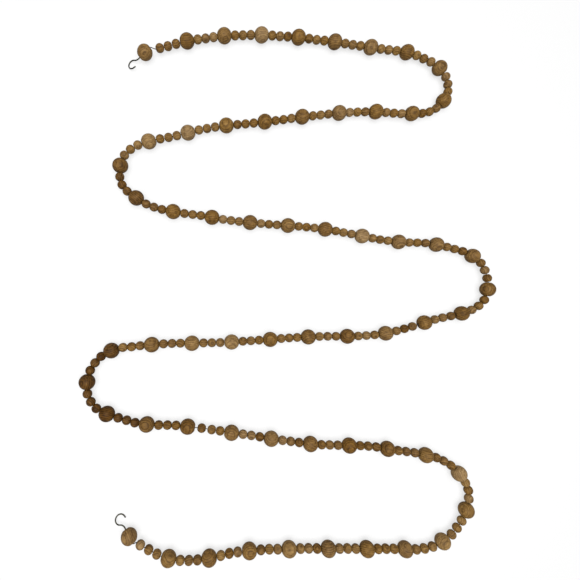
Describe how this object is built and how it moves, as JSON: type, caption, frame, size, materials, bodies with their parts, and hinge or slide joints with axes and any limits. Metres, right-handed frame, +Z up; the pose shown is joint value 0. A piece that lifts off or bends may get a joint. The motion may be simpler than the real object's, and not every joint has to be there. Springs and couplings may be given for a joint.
{
  "type": "wood bead garland",
  "caption": "Long strand of round brown wood beads, large ones parted by small ones, with a wire hook at each end, laid flat in rows.",
  "frame": {"origin": "on the table, under the middle of the garland's layout", "axes": "+Z up from the table; +Y towards the row that starts at the first end bead; +X to the right of it"},
  "size_m": [0.5535, 0.7046, 0.02],
  "materials": {
    "wood": "stained brown, satin, turned round, with fine grain",
    "string": "dark brown waxed twist, matte",
    "wire": "dark annealed steel wire, dull"
  },
  "bodies": {
    "root": {"end_bead_end": "wood", "end_bead_start": "wood", "hook_end": "wire", "hook_start": "wire", "row_1_run_1": "wood", "row_1_run_2": "wood", "row_1_run_3": "wood", "row_1_run_4": "wood", "row_2_run_1": "wood", "row_2_run_2": "wood", "row_2_run_3": "wood", "row_2_run_4": "wood", "row_3_run_1": "wood", "row_3_run_2": "wood", "row_3_run_3": "wood", "row_3_run_4": "wood", "row_4_run_1": "wood", "row_4_run_2": "wood", "row_4_run_3": "wood", "row_4_run_4": "wood", "row_5_run_1": "wood", "row_5_run_2": "wood", "row_5_run_3": "wood", "row_5_run_4": "wood", "row_6_run_1": "wood", "row_6_run_2": "wood", "row_6_run_3": "wood", "row_6_run_4": "wood", "string_end": "string", "string_start": "string", "turn_1_run_1": "wood", "turn_1_run_2": "wood", "turn_2_run_1": "wood", "turn_2_run_2": "wood", "turn_3_run_1": "wood", "turn_3_run_2": "wood", "turn_3_run_3": "wood", "turn_4_run_1": "wood", "turn_4_run_2": "wood", "turn_4_run_3": "wood", "turn_5_run_1": "wood", "turn_5_run_2": "wood", "turn_5_run_3": "wood"}
  },
  "joints": []
}
